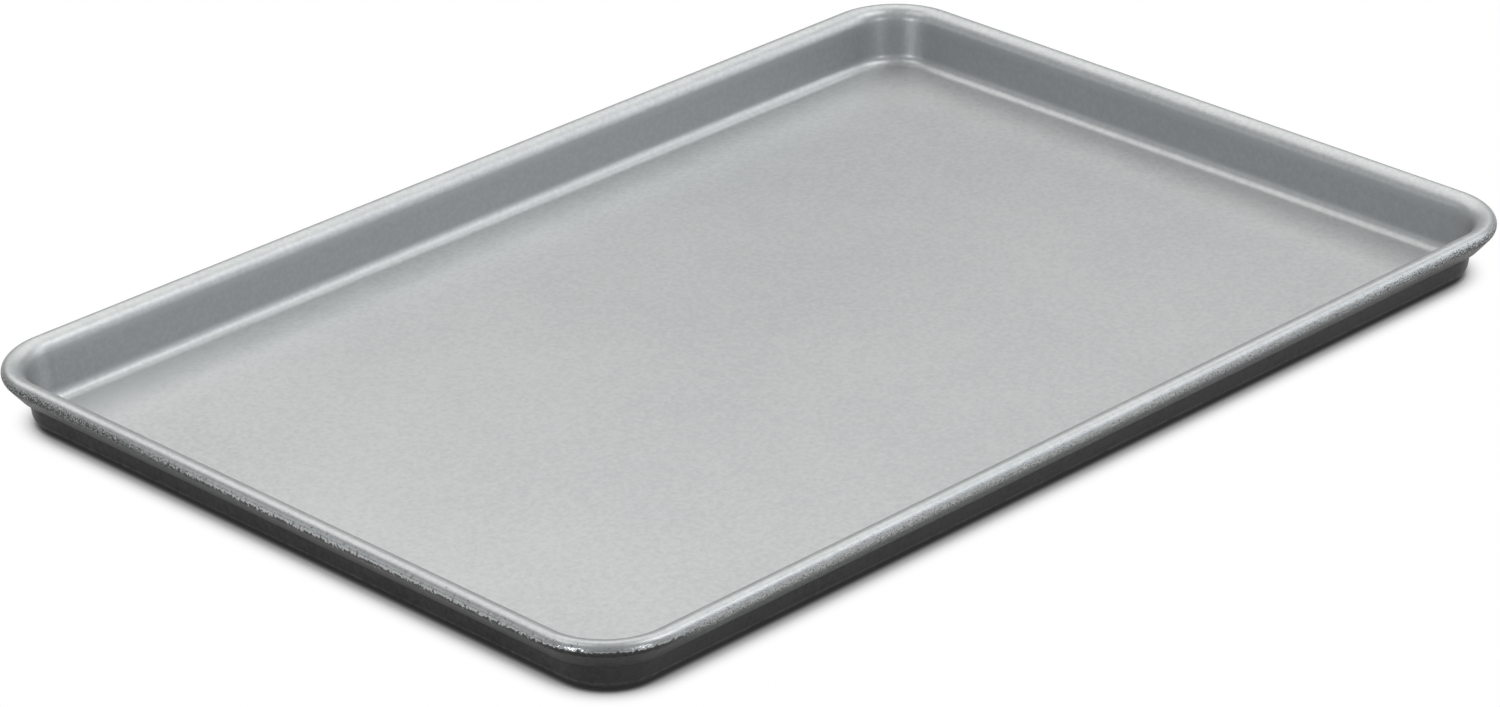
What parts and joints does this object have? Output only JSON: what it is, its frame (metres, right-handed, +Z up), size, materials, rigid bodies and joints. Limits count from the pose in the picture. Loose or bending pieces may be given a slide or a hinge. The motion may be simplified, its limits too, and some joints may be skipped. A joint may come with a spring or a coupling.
{
  "type": "jelly roll pan",
  "caption": "Shallow rectangular baking pan with rounded corners, sloped walls and a rolled rim over a wire, for baking thin sheet cakes.",
  "frame": {"origin": "middle of the underside, on the surface that the pan rests on", "axes": "+X along the pan's length, +Y along its width, +Z up out of the pan"},
  "size_m": [0.4, 0.272, 0.0194],
  "materials": {
    "pan_sheet": "non-stick coating, light grey inside and charcoal outside",
    "rim_wire": "drawn steel wire"
  },
  "bodies": {
    "root": {"pan_sheet": "pan_sheet", "rim_wire": "rim_wire"}
  },
  "joints": []
}
